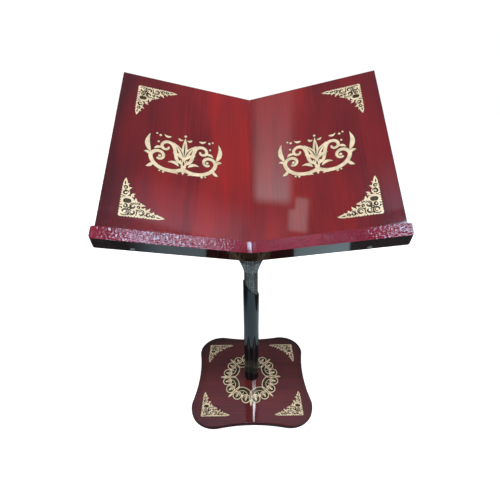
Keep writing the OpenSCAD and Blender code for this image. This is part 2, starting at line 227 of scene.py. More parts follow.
def laminate(name, across, tones, seed):
    """Printed mahogany laminate under a gloss coat. The streaks follow each other along the across axis."""
    m = Mat(name, IOR=1.5, Coat_Weight=1.0, Coat_Roughness=0.05, Coat_IOR=1.5, Specular_IOR_Level=0.12)

    def stretched(fine, long, shift):
        scale = (fine, long, long) if across == "X" else (long, fine, long)
        return m.place(scale, (seed * 3.7 + shift, seed * 1.9 - shift, shift))

    streak = m.noise(stretched(330, 7, 0), 3, 0.6)
    thread = m.noise(stretched(1000, 12, 4), 2, 0.6)
    bands = m.noise(stretched(26, 3.4, 9), 3, 0.5, 0.6)
    blotch = m.noise(stretched(11, 3.0, 17), 2, 0.5, 0.8)
    tone = m.math("MULTIPLY", bands, 0.30)
    for part, share in ((blotch, 0.32), (streak, 0.24), (thread, 0.14)):
        tone = m.math("ADD", tone, m.math("MULTIPLY", part, share))
    dark, middle, bright = tones
    colour = m.ramp(tone, [(0.36, dark), (0.50, middle), (0.64, bright)])
    m.link(colour, "Base Color")
    m.link(m.remap(streak, 0.3, 0.7, 0.42, 0.32), "Roughness")
    m.bump(m.noise(stretched(700, 26, 1), 2), 0.02 * MM, 0.5)
    return m, colour


def board_laminate(name, width, seed, outer_tint):
    """Redder along the spine, and purple and darker towards the outer edge."""
    tones = (0.130, 0.009, 0.013), (0.250, 0.013, 0.015), (0.38, 0.015, 0.012)
    m, colour = laminate(name, "X", tones, seed)
    outward = m.remap(m.math("ABSOLUTE", m.axis("X")), 0.35 * width, 1.05 * width)
    clouds = m.remap(m.noise(m.place((11, 4, 4), (seed, 0, 0)), 2), 0.3, 0.7, -0.30, 0.30)
    cloudy = m.math("ADD", outward, clouds, clamp=True)
    m.link(m.mix(cloudy, colour, m.mix(1.0, colour, outer_tint, "MULTIPLY")), "Base Color")
    return m.material


def base_laminate():
    """Darker and browner than the boards, and nearly black along the rim with painted shade, most at the
    back.
    """
    tones = (0.075, 0.013, 0.015), (0.130, 0.020, 0.021), (0.195, 0.026, 0.024)
    m, colour = laminate("base_laminate", "Y", tones, 5)
    # painted shade: darker and purple towards the scalloped rim, about a third as strong at the front as at
    # the back
    fourth = [m.math("POWER", m.math("ABSOLUTE", m.axis(k)), 4.0) for k in "XY"]
    reach = m.math("POWER", m.math("ADD", *fourth), 0.25)
    rim = m.math("MULTIPLY", m.remap(reach, 0.112, 0.142), m.remap(m.axis("Y"), -0.12, 0.10, 0.35, 1.0))
    m.link(m.mix(rim, colour, m.mix(1.0, colour, (0.22, 0.26, 0.40), "MULTIPLY")), "Base Color")
    return m.material


def ledge_film(name, peel_height):
    """Maroon film with an orange-peel surface that breaks the highlights into sparkles."""
    m = Mat(name, IOR=1.5)
    cloud = m.even_noise(30, 3)
    m.link(m.two_tones(cloud, (0.19, 0.012, 0.028), (0.28, 0.019, 0.044)), "Base Color")
    m.link(m.remap(cloud, 0.3, 0.7, 0.07, 0.11), "Roughness")
    m.bump(m.even_noise(290, 0, 0.4), peel_height)
    return m.material


def painted_shade_dark_edge():
    """Nearly black brown on the dark edges, as on the ledge's front faces: painted shade, for the front is
    the same maroon film as the top, dark only as it faces down and away from the lamps. Smooth enough to
    mirror what lies under it.
    """
    m = Mat("dark_edge", IOR=1.5)
    m.link(m.two_tones(m.even_noise(60), (0.014, 0.0030, 0.0030), (0.026, 0.0060, 0.0055)), "Base Color")
    m.link(m.remap(m.even_noise(240, 3), 0.3, 0.7, 0.04, 0.10), "Roughness")
    m.bump(m.even_noise(70, 2), 0.1 * MM, 0.25)
    return m.material


def base_edge():
    """Nearly black purple band round the base."""
    m = Mat("base_edge", IOR=1.5, Specular_IOR_Level=0.06)
    lacquer = m.two_tones(m.even_noise(60), (0.022, 0.006, 0.009), (0.040, 0.011, 0.016))
    m.link(m.mix(m.edge_wear(0.70, 0.85), lacquer, (0.09, 0.03, 0.035)), "Base Color")
    m.link(m.remap(m.even_noise(240, 3), 0.3, 0.7, 0.42, 0.55), "Roughness")
    m.bump(m.even_noise(300, 3), 0.03 * MM, 0.4)
    return m.material


def gold_foil():
    """Pale stamped foil with a fine grain."""
    m = Mat("gold_foil", Metallic=0.25, IOR=1.45)
    grain = m.even_noise(1500, 2)
    tone = m.weighted(grain, 0.35, m.even_noise(90))
    m.link(m.two_tones(tone, (0.54, 0.44, 0.28), (0.86, 0.73, 0.52), 0.32, 0.62), "Base Color")
    m.link(m.remap(grain, 0.3, 0.7, 0.32, 0.46), "Roughness")
    m.bump(grain, 0.04 * MM, 0.4)
    return m.material


def keyline_print():
    """The dark brown print that the foil lies on."""
    m = Mat("keyline_print", IOR=1.5)
    cloud = m.even_noise(300, 3)
    m.link(m.two_tones(cloud, (0.034, 0.022, 0.008), (0.062, 0.042, 0.016)), "Base Color")
    m.link(m.remap(cloud, 0.3, 0.7, 0.18, 0.30), "Roughness")
    m.bump(cloud, 0.02 * MM, 0.3)
    return m.material


def black_enamel():
    """Glossy blue-black enamel with faint runs along the post."""
    m = Mat("black_enamel", IOR=1.5)
    enamel = m.two_tones(m.noise(m.place((40, 40, 12))), (0.002, 0.006, 0.009), (0.004, 0.011, 0.015))
    m.link(m.mix(m.edge_wear(0.68, 0.80), enamel, (0.10, 0.10, 0.10)), "Base Color")
    m.link(m.remap(m.noise(m.place((130, 130, 60)), 3), 0.3, 0.7, 0.05, 0.11), "Roughness")
    m.bump(m.noise(m.place((120, 120, 50)), 2), 0.005 * MM, 0.25)
    return m.material


def worn_tube():
    """Blue-grey steel tube with dark specks and rubbed streaks along its travel."""
    m = Mat("worn_tube", Metallic=0.3)
    specks = m.even_noise(420, 4, 0.65)
    tone = m.weighted(specks, 0.7, m.noise(m.place((500, 500, 18))))
    dark, grey, bright = (0.035, 0.042, 0.044), (0.155, 0.170, 0.172), (0.52, 0.54, 0.53)
    m.link(m.ramp(tone, [(0.38, dark), (0.50, grey), (0.61, bright)]), "Base Color")
    m.link(m.remap(specks, 0.35, 0.65, 0.50, 0.26), "Roughness")
    m.bump(specks, 0.12 * MM, 0.5)
    return m.material


def metal(name, low, high, roughness):
    """Turned or plated metal: fine brush lines, cloudy tone, brighter rubbed edges."""
    m = Mat(name, Metallic=1.0)
    lines = m.noise(m.place((60, 60, 900)))
    base = m.two_tones(m.even_noise(70, 3), low, high)
    m.link(m.mix(m.edge_wear(), base, tuple(min(1, c * 1.3) for c in high)), "Base Color")
    m.link(m.remap(lines, 0.3, 0.7, roughness, roughness + 0.16), "Roughness")
    m.bump(lines, 0.03 * MM, 0.35)
    return m.material


def plastic(name, low, high, roughness, grain=900):
    """Moulded plastic with a fine skin, and paler rubbed edges."""
    m = Mat(name, IOR=1.46)
    skin = m.even_noise(grain, 3)
    base = m.two_tones(m.even_noise(50, 3), low, high)
    m.link(m.mix(m.edge_wear(), base, tuple(min(1, c * 2 + 0.02) for c in high)), "Base Color")
    m.link(m.remap(skin, 0.3, 0.7, roughness, roughness + 0.14), "Roughness")
    m.bump(skin, 0.08 * MM, 0.4)
    return m.material


MATERIALS = {
    "base_laminate": base_laminate(),
    "ledge_foil": ledge_film("ledge_film", 0.21 * MM),
    "dark_edge": painted_shade_dark_edge(),
    "base_edge": base_edge(),
    "gold_foil": gold_foil(),
    "black_enamel": black_enamel(),
    "tube_steel": worn_tube(),
    "zinc_steel": metal("zinc_steel", (0.46, 0.47, 0.46), (0.66, 0.66, 0.62), 0.24),
    "plug_steel": metal("plug_steel", (0.30, 0.30, 0.30), (0.44, 0.44, 0.43), 0.32),
    "brass": metal("brass", (0.56, 0.38, 0.14), (0.74, 0.55, 0.26), 0.22),
    "black_nylon": plastic("black_nylon", (0.012, 0.012, 0.013), (0.024, 0.024, 0.026), 0.42),
    "white_nylon": plastic("white_nylon", (0.66, 0.63, 0.56), (0.80, 0.78, 0.72), 0.40),
    "knob_plastic": plastic("knob_plastic", (0.011, 0.011, 0.012), (0.022, 0.022, 0.023), 0.36),
    "pad_foam": plastic("pad_foam", (0.030, 0.030, 0.032), (0.055, 0.055, 0.058), 0.75, 500),
}

for node, piece in NODES.items():
    piece.data.materials.clear()
    slot = SLOT_OF[node]
    if slot != "board_laminate":
        piece.data.materials.append(MATERIALS[slot])

# ---- boards, ledges and base ----------------------------------------------------------------------

RIGHT_FRAME = board_frame(1)
board_low, board_high = span("right_board", RIGHT_FRAME)
ledge_low, ledge_high = span("right_ledge", RIGHT_FRAME)
HALF_GAP = min(v.co.x for v in NODES["right_board"].data.vertices)


def spine_u(n):
    """How far out the cut along the spine lies at a height n over the reading face."""
    return (HALF_GAP + n * math.sin(RISE)) / math.cos(RISE)


def make_board(side, name, seed, outer_tint):
    bm = bmesh.new()
    back = board_low.z
    corners = [(spine_u(0), 0), (board_high.x, 0), (board_high.x, back), (spine_u(back), back)]
    lower_end, upper_end = ([(side * u, v, n) for u, n in corners] for v in (board_low.y, board_high.y))
    prism(bm, lower_end, upper_end)
    ease(bm, 0.35 * MM)
    material = board_laminate(name + "_laminate", board_high.x, seed, outer_tint)
    return finish_mesh(name + "_panel", bm, board_frame(side), "tray", [material], [name])


def make_ledge(side, name):
    corner = 4 * MM
    low, high, end = ledge_low.y, ledge_high.y, ledge_high.x
    bm = bmesh.new()

    def outline(n):
        points = [(spine_u(n), low)]
        for cx, cy, first in ((end - corner, low + corner, -90), (end - corner, high - corner, 0)):
            for i in range(9):
                a = math.radians(first + 90 * i / 8)
                points.append((cx + corner * math.cos(a), cy + corner * math.sin(a)))
        points.append((spine_u(n), high))
        return [(side * u, v, n) for u, v in points]

    prism(bm, outline(ledge_low.z), outline(ledge_high.z))
    ease(bm, 1.1 * MM, 4, 40)
    # the front faces take dark_edge, a nearly black copy of the film: painted shade
    for f in bm.faces:
        f.material_index = 1 if f.calc_center_median().y < low + 0.2 * MM and abs(f.normal.y) > 0.9 else 0
    return finish_mesh(name + "_strip", bm, board_frame(side), "tray",
                       [MATERIALS["ledge_foil"], MATERIALS["dark_edge"]], [name])


def make_spine_fillet():
    """A bead of film that rounds the V between the two ledge tops."""
    tangent = 8 * MM
    radius = tangent / math.tan(RISE)
    fold = ledge_high.z / math.cos(RISE)
    sunk = 0.05 * MM
    section = [(tangent * math.cos(RISE), fold + tangent * math.sin(RISE) - sunk), (0, fold - sunk),
               (-tangent * math.cos(RISE), fold + tangent * math.sin(RISE) - sunk)]
    for i in range(13):
        a = RISE * (i / 6 - 1)
        section.append((radius * math.sin(a), fold + radius / math.cos(RISE) - radius * math.cos(a)))
    bm = bmesh.new()
    front, back = ledge_low.y + 0.4 * MM, ledge_high.y - 0.4 * MM
    prism(bm, [(x, front, z) for x, z in section], [(x, back, z) for x, z in section])
    tray = Matrix.Translation(SPINE) @ Matrix.Rotation(SLOPE, 4, "X")
    film = ledge_film("ledge_bead", 0.01 * MM)
    return finish_mesh("ledge_spine_fillet", bm, tray, "tray", [film])


def make_base_slab():
    """The scalloped board with a rounded upper edge, on the outline of its CAD edging."""
    edging = NODES["base_edging"].data
    low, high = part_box("base_edging")
    outer = {}
    for face in edging.polygons:
        if abs(face.normal.z) < 0.1 and face.normal.xy.dot(face.center.xy) > 0:
            for k in face.vertices:
                x, y, _ = edging.vertices[k].co
                outer[round(math.atan2(y, x), 4)] = Vector((x, y))
    loop = [outer[a] for a in sorted(outer)]
    n = len(loop)
    inward = []
    for i in range(n):
        along = (loop[(i + 1) % n] - loop[i - 1]).normalized()
        inward.append(Vector((-along.y, along.x)))
    round_r = 2 * MM
    bolt_r, recess_r, recess_top = 5.15 * MM, 18 * MM, low[2] + 4.5 * MM

    def circle(r, z):
        return [(*(p.normalized() * r), z) for p in loop]

    def inset(d, z):
        return [(*(p + d * q), z) for p, q in zip(loop, inward)]

    rounding = [inset(round_r * (1 - math.cos(a)), high[2] - round_r * (1 - math.sin(a)))
                for a in (math.radians(15 * i) for i in range(7))]
    rings = [inset(0.3 * MM, low[2]), inset(0, low[2] + 0.3 * MM), *rounding, circle(bolt_r, high[2]),
             circle(bolt_r, recess_top), circle(recess_r, recess_top), circle(recess_r, low[2])]
    bm = bmesh.new()
    rows = [[bm.verts.new(p) for p in ring] for ring in rings]
    for k, row in enumerate(rows):
        above = rows[(k + 1) % len(rows)]
        for i in range(n):
            j = (i + 1) % n
            face = bm.faces.new((row[i], row[j], above[j], above[i]))
            face.material_index = 0 if 4 <= k <= 8 else 1
    return finish_mesh("base_slab", bm, Matrix(), "stand",
                       [MATERIALS["base_laminate"], MATERIALS["base_edge"]], ["base_board", "base_edging"])


for side, name, seed, tint in ((-1, "left", 2, (0.32, 0.50, 0.85)), (1, "right", 7, (0.50, 0.66, 1.0))):
    make_board(side, name + "_board", seed, tint)
    make_ledge(side, name + "_ledge")
make_spine_fillet()
make_base_slab()

# ---- foil ornaments, drawn in millimetres ----------------------------------------------------------

LEAF_TIP = 0.15       # half the width of a leaf's points
PRINT_BORDER = 0.7    # how far the dark print shows round the foil
GRID_PITCH = 0.3      # side of a cell of the distance fields
FIELD_REACH = 1.6     # how far outside its stroke a distance is worked out
FAR_OUTSIDE = 9.0     # the distance given beyond that


def arc(cx, cy, r, first, last, w, end_w=None, end_r=None):
    """A stroke on an arc, or on a spiral when end_r is given."""
    t = np.linspace(0, 1, max(8, int(abs(last - first) / 9)))
    a = np.radians(first + (last - first) * t)
    rr = r + ((r if end_r is None else end_r) - r) * t
    widths = w + ((w if end_w is None else end_w) - w) * t
    return np.stack([cx + rr * np.cos(a), cy + rr * np.sin(a)], 1), widths


def leaf(x, y, angle, length, w, bend=0.0, full=0.42):
    """A pointed leaf that leaves a point at an angle, widest at a fraction of its length."""
    t = np.linspace(0, 1, 17)
    a = math.radians(angle)
    along, side = t * length, bend * length * np.sin(math.pi * t)
    xs = x + along * math.cos(a) - side * math.sin(a)
    ys = y + along * math.sin(a) + side * math.cos(a)
    swell = np.sin(math.pi * t ** (math.log(0.5) / math.log(full)))
    return np.stack([xs, ys], 1), w * swell + LEAF_TIP


def vine(p0, p1, p2, p3, w, end_w):
    """A stroke on a cubic curve."""
    t = np.linspace(0, 1, 24)[:, None]
    p0, p1, p2, p3 = map(np.array, (p0, p1, p2, p3))
    points = (1 - t) ** 3 * p0 + 3 * t * (1 - t) ** 2 * p1 + 3 * t ** 2 * (1 - t) * p2 + t ** 3 * p3
    return points, w + (end_w - w) * t[:, 0]


def dot(x, y, r):
    return np.array([[x, y], [x + 0.01, y]]), np.array([r, r])


def flipped(strokes):
    """The strokes mirrored in the Y axis."""
    return [(p * np.array([-1, 1]), w) for p, w in strokes]


def turned(strokes, degrees):
    a = math.radians(degrees)
    m = np.array([[math.cos(a), math.sin(a)], [-math.sin(a), math.cos(a)]])
    return [(p @ m, w) for p, w in strokes]


def distance(strokes, xs, ys):
    """Signed distance to the outline of the strokes on a grid, negative inside."""
    grid = np.full((len(ys), len(xs)), FAR_OUTSIDE)
    for points, widths in strokes:
        for a, b, wa, wb in zip(points[:-1], points[1:], widths[:-1], widths[1:]):
            reach = max(wa, wb) + FIELD_REACH
            i0, i1 = np.searchsorted(xs, (min(a[0], b[0]) - reach, max(a[0], b[0]) + reach))
            j0, j1 = np.searchsorted(ys, (min(a[1], b[1]) - reach, max(a[1], b[1]) + reach))
            x, y = np.meshgrid(xs[i0:i1] - a[0], ys[j0:j1] - a[1])
            d = b - a
            t = np.clip((x * d[0] + y * d[1]) / max(d @ d, 1e-9), 0, 1)
            near = np.hypot(x - t * d[0], y - t * d[1]) - (wa + (wb - wa) * t)
            grid[j0:j1, i0:i1] = np.minimum(grid[j0:j1, i0:i1], near)
    return grid


def fields(design):
    """(gold, dark, x of column 0, y of row 0): the gold lies on a dark print that shows round it."""
    gold, cuts, shade = design
    every = np.concatenate([p for p, _ in gold])
    margin = max(w.max() for _, w in gold) + 2.0
    low, high = every.min(0) - margin, every.max(0) + margin
    xs, ys = (np.arange(low[k], high[k], GRID_PITCH) for k in (0, 1))
    metal = distance(gold, xs, ys)
    outline = metal - PRINT_BORDER
    if cuts:
        metal = np.maximum(metal, -distance(cuts, xs, ys))
    if shade:
        outline = np.minimum(outline, distance(shade, xs, ys))
    return metal, outline, low[0], low[1]


def corner_design():
    """Lace in a right angle, 70 mm along each arm, with a hollow third side and one oval window."""
    gold, cuts = [], []

    def curl(x, y, r, start, way=1, cut=0.62):
        gold.append(dot(x, y, r))
        cuts.append(arc(x, y, r - 1.9, start, start + way * 300, cut, cut * 0.8, r * 0.62 - 1.2))
        cuts.append(arc(x, y, max(r * 0.36, 1.0), start + way * 40, start + way * 330, cut * 0.8))

    # along the first arm
    curl(19.5, 8.6, 8.4, 80)
    curl(33.0, 8.4, 8.6, 200, -1)
    curl(44.6, 5.8, 5.9, 60)
    curl(52.6, 4.6, 4.6, 220, -1)
    gold += [leaf(50, 4.2, -4, 20.5, 3.5, 0, 0.40), leaf(56, 5, 48, 5.5, 1.1),
             leaf(48, 8.5, 42, 6.5, 1.4, -0.2), leaf(39.5, 13, 40, 9, 1.7, -0.2),
             dot(38, 16.5, 1.6), dot(43.5, 12.6, 1.4)]
    # up the second arm, with the window
    gold += [dot(x, 28.0, 8.6) for x in (8.9, 11.6)]
    cuts += [dot(x, 28.0, 3.9) for x in (8.2, 9.6, 11.0, 12.4)]
    curl(6.2, 42.6, 6.4, 20)
    curl(5.2, 52.4, 5.2, 160, -1)
    gold += [leaf(4.4, 50, 93, 20.5, 3.6, 0, 0.40), leaf(6, 57, 40, 5.5, 1.1),
             leaf(9.6, 47.5, 45, 7.5, 1.5, 0.2), leaf(15.5, 35.5, 48, 8.5, 1.7, 0.2), dot(18.6, 37.0, 1.5)]
    # the corner and the hollow side
    curl(8.6, 8.6, 8.7, 225)
    curl(8.4, 18.6, 5.6, 100, -1)
    curl(19.8, 19.4, 7.4, 45)
    curl(28.2, 18.2, 4.4, -60)
    gold += [leaf(23, 22, 45, 8.5, 2.0), leaf(30, 19, 15, 9.0, 1.8, 0.25), leaf(20, 27, 75, 8.0, 1.8, -0.25),
             dot(24.5, 28.2, 1.7), dot(31.6, 24.6, 1.5), dot(2.6, 2.6, 2.9)]
    # scalloped outer borders
    for i in range(12):
        s = 4.5 + 4.4 * i
        gold += [dot(s, 1.0, 1.6), dot(1.0, s, 1.6)]
    cuts += [arc(14.6, 14.2, 2.2, 0, 360, 0.7), dot(26.2, 12.6, 1.0), dot(26.0, 4.0, 0.9),
             dot(13.9, 3.6, 1.0), dot(3.4, 14.4, 0.9), dot(39.3, 4.6, 0.9), dot(48.7, 4.4, 0.7),
             dot(5.2, 35.9, 0.8), dot(5.4, 47.6, 0.7), leaf(57, 3.6, -8, 6.5, 0.65),
             leaf(3.7, 57.5, 95, 6.5, 0.65), leaf(24.5, 23.5, 45, 4.5, 0.5)]
    wider = 0.32
    return gold, [(points, widths + wider) for points, widths in cuts], []


def centre_design():
    """A mirrored arabesque, a palmette between scrolling vines, 134 by 86 mm."""
    half = [
        vine((0, -31), (18, -45), (52, -38), (57, -12), 3.4, 3.4),
        arc(43.2, -11, 13.8, -6, 290, 3.4, 1.9, 4.6), dot(41.6, -10.2, 2.6),
        vine((5, -18), (17, -17), (13, 6), (21, 18), 2.8, 3.3),
        arc(31.5, 11.5, 12.2, 148, -160, 3.3, 1.9, 3.8),
        leaf(57.5, -4, 84, 39, 4.0, -0.13), leaf(58, -10, 24, 11.5, 2.6, 0.2),
        leaf(52, -26, -42, 14, 2.9, -0.12),
        leaf(0, -12, 60, 41, 4.0, 0.08), leaf(0, -12, 32, 24, 3.2, 0.14),
        leaf(8, -26, 16, 20, 2.7, 0.2), leaf(40, 8, -20, 13, 2.4, 0.2),
        leaf(12, 34.5, 196, 9, 1.9, 0.25), leaf(25, 35, 14, 13, 2.0, -0.22), dot(44, 34.5, 2.2),
        dot(50.2, 37.6, 1.7), leaf(19, -41.5, 188, 11, 1.8, -0.2), dot(33, -42, 2.1),
        dot(39.4, -40.4, 1.6), dot(46, 20, 1.9),
    ]
    middle = [leaf(0, -14, 90, 51, 5.0), leaf(0, -26, -90, 17, 3.6), dot(0, 41.3, 2.3),
              dot(0, -17, 7.4), dot(0, -26, 4.6)]
    veins = [leaf(1.6, -6, 61, 26, 0.8, 0.08), leaf(3.4, -17, 50, 9, 0.7, 0.3)]
    cuts = veins + flipped(veins) + [leaf(0, -6, 90, 32, 1.0), leaf(0, -24, 90, 10, 1.3)]
    return half + flipped(half) + middle, cuts, []


def ring_design():
    """Eight pairs of petals round a scalloped inner edge, with a double bar and points between the pairs."""
    petals = [arc(66.3, 0, 31.3, 147.5, 212.5, 1.0), arc(58.5, 0, 14.4, 128, 232, 0.75),
              leaf(44.5, 0, 0, 17, 1.4, 0, 0.7)]
    shade = [arc(66.3, 0, 26.5, 150, 210, 4.4), dot(52, 0, 9.5)]
    for side in (-1, 1):
        petals += turned([arc(62.6, 0, 10.3, 0, 360, 1.15), leaf(51.5, 0, 0, 17.0, 2.3, 0, 0.66),
                          leaf(52, 0, 34, 11, 0.8, 0, 0.6), leaf(52, 0, -34, 11, 0.8, 0, 0.6)], side * 11.0)
        shade += turned([dot(62.6, 0, 10.3)], side * 11.0)
    bars = [leaf(66, 0, 0, 14.5, 2.3, 0, 0.4), dot(43.5, 0, 2.6), dot(71.6, 0, 2.3)]
    for y in (-2.0, 2.0):
        bars.append(vine((43, y * 0.5), (50, y * 1.1), (60, y * 1.1), (71, y * 0.6), 0.95, 0.95))
    shade_bars = [vine((44, 0), (50, 0), (60, 0), (70, 0), 3.0, 3.0)]
    gold, dark = [], []
    for k in range(8):
        gold += turned(petals, 45 * k + 22.5) + turned(bars, 45 * k)
        dark += turned(shade, 45 * k + 22.5) + turned(shade_bars, 45 * k)
    return gold, [], dark


# crossings of a grid cell's sides (0 bottom, 1 right, 2 top, 3 left) for each pattern of inner corners
CELL_STEPS = {1: [(0, 3)], 2: [(1, 0)], 3: [(1, 3)], 4: [(2, 1)], 5: [(0, 3), (2, 1)],
              6: [(2, 0)], 7: [(2, 3)], 8: [(3, 2)], 9: [(0, 2)], 10: [(1, 0), (3, 2)],
              11: [(1, 2)], 12: [(3, 1)], 13: [(0, 1)], 14: [(3, 0)]}


def outlines(grid, x0, y0):
    """Closed loops along the zero line of a field, with the inside on their left."""
    inner = grid < 0
    code = inner[:-1, :-1] + 2 * inner[:-1, 1:] + 4 * inner[1:, 1:] + 8 * inner[1:, :-1]
    follow = {}
    for j, i in np.argwhere((code > 0) & (code < 15)):
        sides = ((j, i, 0), (j, i + 1, 1), (j + 1, i, 0), (j, i, 1))
        for first, last in CELL_STEPS[int(code[j, i])]:
            follow[sides[first]] = sides[last]
    loops = []
    while follow:
        start, key = follow.popitem()
        loop = [start]
        while key != start:
            loop.append(key)
            key = follow.pop(key)
        points = []
        for j, i, upright in loop:
            a, b = grid[j, i], grid[j + upright, i + 1 - upright]
            t = a / (a - b)
            points.append((x0 + GRID_PITCH * (i + t * (1 - upright)), y0 + GRID_PITCH * (j + t * upright)))
        loops.append(np.array(points))
    return loops


def thinned(loop):
    """The loop without the points that lie on a straight line between those kept."""
    tolerance = 0.1 * GRID_PITCH

    def keep(first, last):
        a, b = loop[first], loop[last % len(loop)]
        if last - first < 2:
            return [first]
        chord = b - a
        inside = loop[first + 1:last] - a
        away = np.abs(inside[:, 0] * chord[1] - inside[:, 1] * chord[0]) / max(np.hypot(*chord), 1e-9)
        k = int(away.argmax())
        if away[k] < tolerance:
            return [first]
        return keep(first, first + 1 + k) + keep(first + 1 + k, last)

    half = len(loop) // 2
    return loop[keep(0, half) + keep(half, len(loop))]


def cut_sheet(name, loops, places, low, high, body, material, replaces=()):
    """Thin sheets with these outlines (mm), one at each place, between two heights over the face."""
    curve = bpy.data.curves.new(name, "CURVE")
    curve.dimensions = "2D"
    curve.fill_mode = "BOTH"
    curve.extrude = (high - low) / 2 * MM
    for loop in loops:
        if len(loop) < 4:
            continue
        spline = curve.splines.new("POLY")
        spline.points.add(len(loop) - 1)
        spline.use_cyclic_u = True
        for point, (x, y) in zip(spline.points, loop):
            point.co = (x * MM, y * MM, 0, 1)
    drawn = bpy.data.objects.new(name + "_drawn", curve)
    bpy.context.scene.collection.objects.link(drawn)
    flat = bpy.data.meshes.new_from_object(drawn.evaluated_get(bpy.context.evaluated_depsgraph_get()))
    bpy.data.objects.remove(drawn)
    bpy.data.curves.remove(curve)
    bm = bmesh.new()
    lift = Matrix.Translation((0, 0, (low + high) / 2 * MM))
    for place in places:
        start = len(bm.verts)
        bm.from_mesh(flat)
        bm.verts.ensure_lookup_table()
        bmesh.ops.transform(bm, verts=bm.verts[start:], matrix=place @ lift)
    bpy.data.meshes.remove(flat)
    bmesh.ops.remove_doubles(bm, verts=bm.verts, dist=0.002 * MM)
    return finish_mesh(name, bm, Matrix(), body, [material], replaces)


def foil_on_print(name, design, places, body):
    """A gold ornament on its dark print, in place of the plain CAD foil of that name."""
    gold, dark, x0, y0 = fields(design)
    sheets = (("_print", dark, -0.10, 0.03, "dark_edge", KEYLINE, ()),
              ("_foil", gold, -0.05, 0.12, "gold_foil", MATERIALS["gold_foil"], (name,)))
    for suffix, field, low, high, slot, material, replaced in sheets:
        loops = [thinned(loop) for loop in outlines(field, x0, y0)]
        cut_sheet(name + suffix, loops, places, low, high, body, material, replaced)


def corner_place(frame_matrix, x, y, way_x, way_y, scale=1.0):
    """Puts a corner ornament's corner at x, y with its arms along way_x and way_y."""
    arms = Matrix(((way_x * scale, 0, 0, x), (0, way_y * scale, 0, y), (0, 0, 1, 0), (0, 0, 0, 1)))
    return frame_matrix @ arms


KEYLINE = keyline_print()
CORNER, CENTRE, RING = corner_design(), centre_design(), ring_design()
for side, name in ((-1, "left"), (1, "right")):
    face = board_frame(side)
    low, high = span(name + "_corner_ornaments", face)
    far = side * max(abs(low.x), abs(high.x))
    places = [corner_place(face, far, y, -side, way) for y, way in ((low.y, 1), (high.y, -1))]
    foil_on_print(name + "_corner_ornaments", CORNER, places, "tray")
    low, high = span(name + "_centre_ornament", face)
    places = [face @ Matrix.Translation(((low.x + high.x) / 2, (low.y + high.y) / 2, 0))]
    foil_on_print(name + "_centre_ornament", CENTRE, places, "tray")

# the base's ornaments, placed a little off its middle as in the photo
BASE_CORNER_SCALE = 64 / 70
BACK_CORNERS_FORWARD = 7 * MM
RING_OFFSET = Vector((-2.5 * MM, -6 * MM, 0))
RING_STRETCH = (0.946, 1.05, 1, 1)
base_face = Matrix.Translation((0, 0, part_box("base_board")[1][2]))
low, high = span("base_corner_ornaments", base_face)
places = [corner_place(base_face, x * high.x, y, -x, way, BASE_CORNER_SCALE)
          for x in (-1, 1) for y, way in ((low.y, 1), (high.y - BACK_CORNERS_FORWARD, -1))]
foil_on_print("base_corner_ornaments", CORNER, places, "stand")
places = [base_face @ Matrix.Translation(RING_OFFSET) @ Matrix.Diagonal(RING_STRETCH)]
foil_on_print("base_ring_ornament", RING, places, "stand")

# ---- stage ----------------------------------------------------------------------------------------

def stage_sheet(name, x, y, z, seen_glow, colour, glow=0.0):
    """A level sheet under the object: white to the camera, coloured and glowing for light and reflections."""
    bm = bmesh.new()
    bmesh.ops.create_grid(bm, x_segments=4, y_segments=4, size=0.5)
    centre = Matrix.Translation(((x[0] + x[1]) / 2, (y[0] + y[1]) / 2, z))
    stretch = Matrix.Diagonal((x[1] - x[0], y[1] - y[0], 1, 1))
    bmesh.ops.transform(bm, verts=bm.verts, matrix=centre @ stretch)
    mesh = bpy.data.meshes.new(name)
    bm.to_mesh(mesh)
    bm.free()
    sheet = bpy.data.objects.new(name, mesh)
    bpy.context.scene.collection.objects.link(sheet)
    m = Mat(name, Roughness=0.9)
    soft_left = 0.10
    seen = m.node("LightPath").outputs["Is Camera Ray"]
    shown = m.remap(m.axis("X"), x[0], x[0] + soft_left)
    m.link(m.mix(seen, m.mix(shown, (0.12, 0.12, 0.12), colour), (0.86, 0.86, 0.86)), "Base Color")
    m.link(m.mix(seen, colour, (1, 1, 1)), "Emission Color")
    across = m.remap(m.axis("X"), *x, 0.2, 1.0)
    hidden_glow = m.math("MULTIPLY", shown, m.math("MULTIPLY", across, glow))
    m.link(m.remap(seen, 0, 1, hidden_glow, seen_glow), "Emission Strength")
    mesh.materials.append(m.material)


def area_light(name, position, target, width, height, radiance, colour=(1, 1, 1), turn=0.0):
    """A rectangular softbox as bright as radiance, facing the target and turned about the vertical."""
    light = bpy.data.lights.new(name, "AREA")
    light.shape = "RECTANGLE"
    light.size, light.size_y = width, height
    light.energy = radiance * math.pi * width * height
    light.color = colour
    lamp = bpy.data.objects.new(name, light)
    bpy.context.scene.collection.objects.link(lamp)
    lamp.location = position
    aim = (Vector(target) - Vector(position)).to_track_quat("-Z", "Y").to_matrix()
    lamp.rotation_euler = (Matrix.Rotation(math.radians(turn), 3, "Z") @ aim).to_euler()
    return lamp


def overhead_light(name, position, width, height, radiance, colour, turn=0.0):
    """A softbox that looks straight down."""
    below = Vector(position) - Vector((0, 0, 1))
    return area_light(name, position, below, width, height, radiance, colour, turn)


